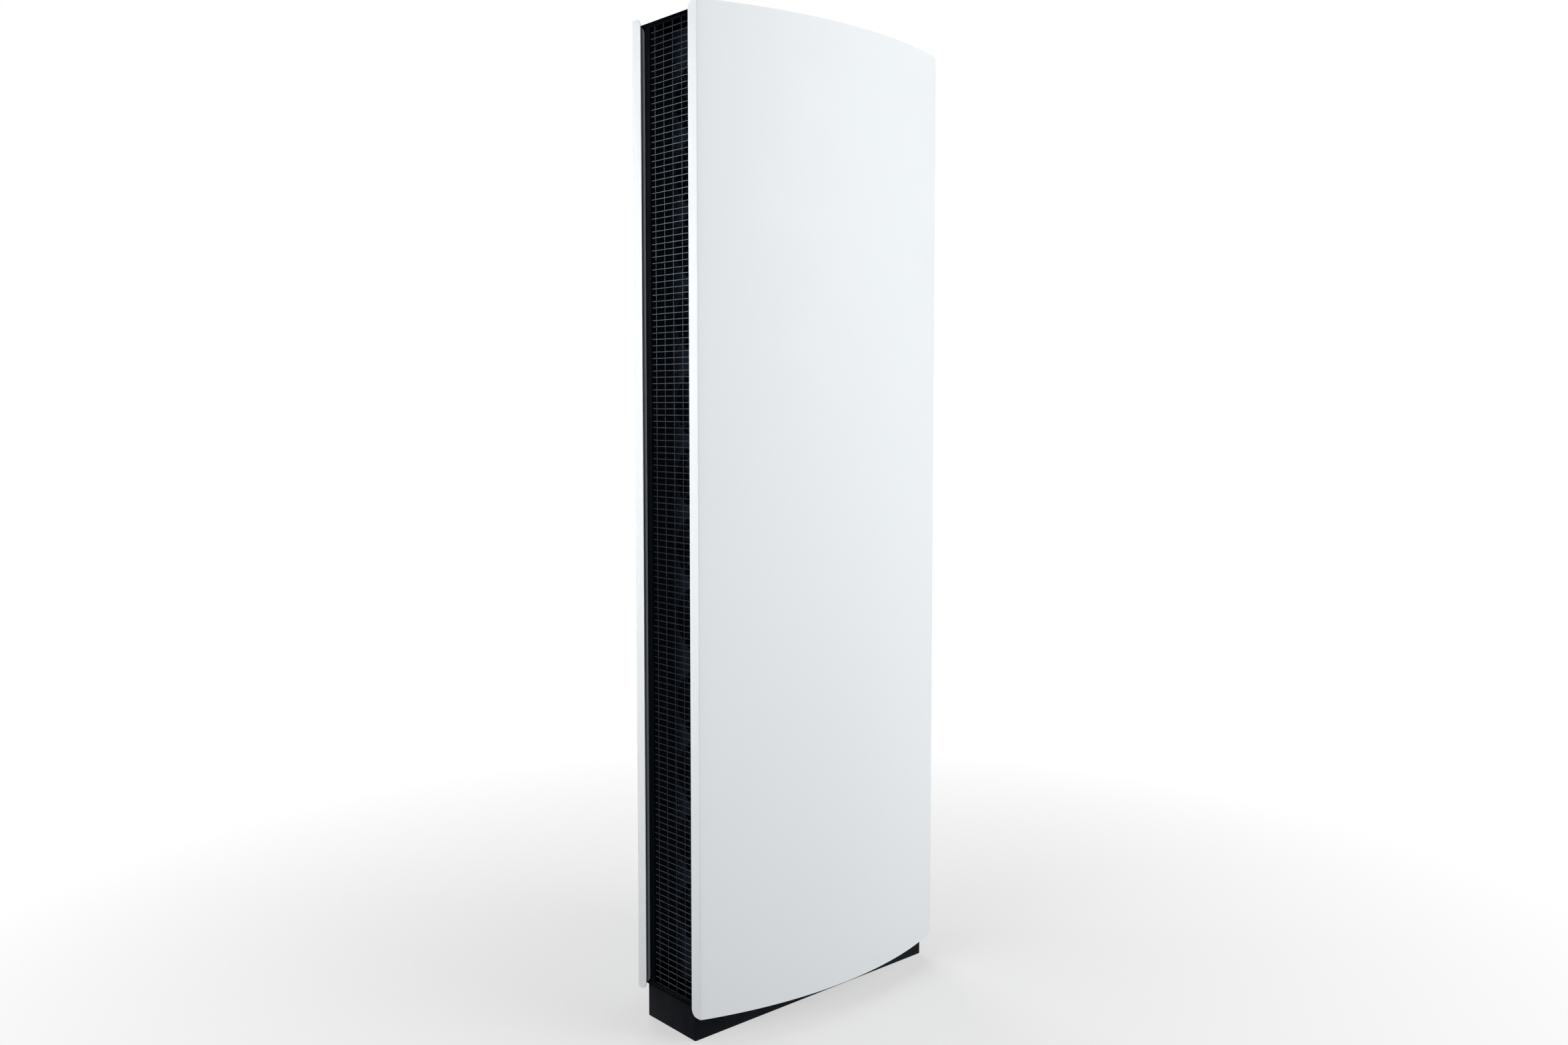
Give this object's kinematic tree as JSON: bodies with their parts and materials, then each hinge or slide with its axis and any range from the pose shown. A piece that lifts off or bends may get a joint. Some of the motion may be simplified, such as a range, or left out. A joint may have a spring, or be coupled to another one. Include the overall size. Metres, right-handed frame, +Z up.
{
  "type": "air purifier",
  "caption": "Tall slim floor-standing air purifier: black sheet-steel case with wire-mesh sides, bowed white front and rear panels, a column of fans and pull-out filters.",
  "frame": {"origin": "middle of the footprint, on the floor that the feet stand on", "axes": "+Z up, +X to the right seen from the front, the front panel faces -Y"},
  "size_m": [0.666, 0.3328, 2.024],
  "materials": {
    "black_paint": "fine satin black powder coat",
    "grey_paint": "dark grey powder coat",
    "white_paint": "smooth satin white powder coat",
    "wire": "dark coated welded wire",
    "black_plastic": "moulded black plastic",
    "zinc_steel": "zinc-plated sheet",
    "filter_media": "white pleated filter paper in a frame",
    "carbon_media": "black activated-carbon pleats in a frame",
    "foam": "dark washable foam mat",
    "rubber": "black rubber-faced foot"
  },
  "bodies": {
    "case": {"plinth": "black_paint", "floor_plate": "black_paint", "roof_plate": "black_paint", "left_side": "black_paint", "right_side": "black_paint", "left_mesh": "wire", "right_mesh": "wire", "back_wall": "grey_paint", "fan_plate": "black_paint", "shelf_1": "zinc_steel", "shelf_2": "zinc_steel", "shelf_3": "zinc_steel", "shelf_4": "zinc_steel", "fan_tray_1": "black_plastic", "fan_tray_2": "black_plastic", "fan_tray_3": "black_plastic", "power_supply": "zinc_steel", "control_unit": "black_plastic", "mains_inlet": "black_plastic", "switch_bezel": "black_plastic", "rear_rail_lower": "zinc_steel", "rear_rail_upper": "zinc_steel", "foot_bar_left": "zinc_steel", "foot_bar_right": "zinc_steel", "mains_loom": "black_plastic", "supply_link": "black_plastic", "fan_loom": "black_plastic", "cable_grommet": "rubber"},
    "front_cover": {"front_cover": "grey_paint", "front_rail_lower": "zinc_steel", "front_rail_upper": "zinc_steel"},
    "front_panel": {"front_panel": "white_paint"},
    "rear_panel": {"rear_panel": "white_paint"},
    "hepa_cassette_1": {"hepa_cassette_1": "filter_media"},
    "hepa_cassette_2": {"hepa_cassette_2": "filter_media"},
    "hepa_cassette_3": {"hepa_cassette_3": "filter_media"},
    "carbon_cassette_1": {"carbon_cassette_1": "carbon_media"},
    "carbon_cassette_2": {"carbon_cassette_2": "carbon_media"},
    "carbon_cassette_3": {"carbon_cassette_3": "carbon_media"},
    "prefilter_1": {"prefilter_1": "foam"},
    "prefilter_2": {"prefilter_2": "foam"},
    "prefilter_3": {"prefilter_3": "foam"},
    "impeller_01": {"impeller_01": "black_plastic"},
    "impeller_02": {"impeller_02": "black_plastic"},
    "impeller_03": {"impeller_03": "black_plastic"},
    "impeller_04": {"impeller_04": "black_plastic"},
    "impeller_05": {"impeller_05": "black_plastic"},
    "impeller_06": {"impeller_06": "black_plastic"},
    "impeller_07": {"impeller_07": "black_plastic"},
    "impeller_08": {"impeller_08": "black_plastic"},
    "impeller_09": {"impeller_09": "black_plastic"},
    "impeller_10": {"impeller_10": "black_plastic"},
    "impeller_11": {"impeller_11": "black_plastic"},
    "impeller_12": {"impeller_12": "black_plastic"},
    "foot_front_left": {"foot_front_left": "rubber"},
    "foot_front_right": {"foot_front_right": "rubber"},
    "foot_rear_left": {"foot_rear_left": "rubber"},
    "foot_rear_right": {"foot_rear_right": "rubber"},
    "power_rocker": {"power_rocker": "black_plastic"},
    "speed_knob": {"speed_knob": "black_plastic"}
  },
  "joints": [
    {"name": "front_cover_off", "type": "slide", "parent": "case", "child": "front_cover", "axis": [0, -1, 0], "range_m": [0, 0.3]},
    {"name": "front_panel_off", "type": "slide", "parent": "front_cover", "child": "front_panel", "axis": [0, -1, 0], "range_m": [0, 0.15]},
    {"name": "rear_panel_off", "type": "slide", "parent": "case", "child": "rear_panel", "axis": [0, 1, 0], "range_m": [0, 0.15]},
    {"name": "hepa_1_out", "type": "slide", "parent": "case", "child": "hepa_cassette_1", "axis": [0, -1, 0], "range_m": [0, 0.15]},
    {"name": "hepa_2_out", "type": "slide", "parent": "case", "child": "hepa_cassette_2", "axis": [0, -1, 0], "range_m": [0, 0.15]},
    {"name": "hepa_3_out", "type": "slide", "parent": "case", "child": "hepa_cassette_3", "axis": [0, -1, 0], "range_m": [0, 0.15]},
    {"name": "carbon_1_out", "type": "slide", "parent": "case", "child": "carbon_cassette_1", "axis": [0, -1, 0], "range_m": [0, 0.15]},
    {"name": "carbon_2_out", "type": "slide", "parent": "case", "child": "carbon_cassette_2", "axis": [0, -1, 0], "range_m": [0, 0.15]},
    {"name": "carbon_3_out", "type": "slide", "parent": "case", "child": "carbon_cassette_3", "axis": [0, -1, 0], "range_m": [0, 0.15]},
    {"name": "prefilter_1_out", "type": "slide", "parent": "case", "child": "prefilter_1", "axis": [0, -1, 0], "range_m": [0, 0.15]},
    {"name": "prefilter_2_out", "type": "slide", "parent": "case", "child": "prefilter_2", "axis": [0, -1, 0], "range_m": [0, 0.15]},
    {"name": "prefilter_3_out", "type": "slide", "parent": "case", "child": "prefilter_3", "axis": [0, -1, 0], "range_m": [0, 0.15]},
    {"name": "fan_01_spin", "type": "hinge", "parent": "case", "child": "impeller_01", "pos_m": [-0.2322, 0, 0.21675], "axis": [-1, 0, 0], "continuous": true},
    {"name": "fan_02_spin", "type": "hinge", "parent": "case", "child": "impeller_02", "pos_m": [-0.2322, 0, 0.36225], "axis": [-1, 0, 0], "continuous": true},
    {"name": "fan_03_spin", "type": "hinge", "parent": "case", "child": "impeller_03", "pos_m": [-0.2322, 0, 0.50775], "axis": [-1, 0, 0], "continuous": true},
    {"name": "fan_04_spin", "type": "hinge", "parent": "case", "child": "impeller_04", "pos_m": [-0.2322, 0, 0.65325], "axis": [-1, 0, 0], "continuous": true},
    {"name": "fan_05_spin", "type": "hinge", "parent": "case", "child": "impeller_05", "pos_m": [-0.2322, 0, 0.82625], "axis": [-1, 0, 0], "continuous": true},
    {"name": "fan_06_spin", "type": "hinge", "parent": "case", "child": "impeller_06", "pos_m": [-0.2322, 0, 0.97175], "axis": [-1, 0, 0], "continuous": true},
    {"name": "fan_07_spin", "type": "hinge", "parent": "case", "child": "impeller_07", "pos_m": [-0.2322, 0, 1.11725], "axis": [-1, 0, 0], "continuous": true},
    {"name": "fan_08_spin", "type": "hinge", "parent": "case", "child": "impeller_08", "pos_m": [-0.2322, 0, 1.26275], "axis": [-1, 0, 0], "continuous": true},
    {"name": "fan_09_spin", "type": "hinge", "parent": "case", "child": "impeller_09", "pos_m": [-0.2322, 0, 1.43575], "axis": [-1, 0, 0], "continuous": true},
    {"name": "fan_10_spin", "type": "hinge", "parent": "case", "child": "impeller_10", "pos_m": [-0.2322, 0, 1.58125], "axis": [-1, 0, 0], "continuous": true},
    {"name": "fan_11_spin", "type": "hinge", "parent": "case", "child": "impeller_11", "pos_m": [-0.2322, 0, 1.72675], "axis": [-1, 0, 0], "continuous": true},
    {"name": "fan_12_spin", "type": "hinge", "parent": "case", "child": "impeller_12", "pos_m": [-0.2322, 0, 1.87225], "axis": [-1, 0, 0], "continuous": true},
    {"name": "foot_front_left_screw", "type": "slide", "parent": "case", "child": "foot_front_left", "axis": [0, 0, -1], "range_m": [0, 0.012]},
    {"name": "foot_front_right_screw", "type": "slide", "parent": "case", "child": "foot_front_right", "axis": [0, 0, -1], "range_m": [0, 0.012]},
    {"name": "foot_rear_left_screw", "type": "slide", "parent": "case", "child": "foot_rear_left", "axis": [0, 0, -1], "range_m": [0, 0.012]},
    {"name": "foot_rear_right_screw", "type": "slide", "parent": "case", "child": "foot_rear_right", "axis": [0, 0, -1], "range_m": [0, 0.012]},
    {"name": "power_switch", "type": "hinge", "parent": "case", "child": "power_rocker", "pos_m": [0.326, 0, 0.034], "axis": [0, 1, 0], "range_deg": [0, 16]},
    {"name": "speed_dial", "type": "hinge", "parent": "case", "child": "speed_knob", "pos_m": [0.326, -0.044, 0.034], "axis": [1, 0, 0], "range_deg": [0, 270]}
  ],
  "couplings": [
    {"joint": "hepa_1_out", "follows": "front_cover_off", "ratio": 0.5},
    {"joint": "hepa_2_out", "follows": "front_cover_off", "ratio": 0.5},
    {"joint": "hepa_3_out", "follows": "front_cover_off", "ratio": 0.5},
    {"joint": "carbon_1_out", "follows": "front_cover_off", "ratio": 0.5},
    {"joint": "carbon_2_out", "follows": "front_cover_off", "ratio": 0.5},
    {"joint": "carbon_3_out", "follows": "front_cover_off", "ratio": 0.5},
    {"joint": "prefilter_1_out", "follows": "front_cover_off", "ratio": 0.5},
    {"joint": "prefilter_2_out", "follows": "front_cover_off", "ratio": 0.5},
    {"joint": "prefilter_3_out", "follows": "front_cover_off", "ratio": 0.5}
  ]
}
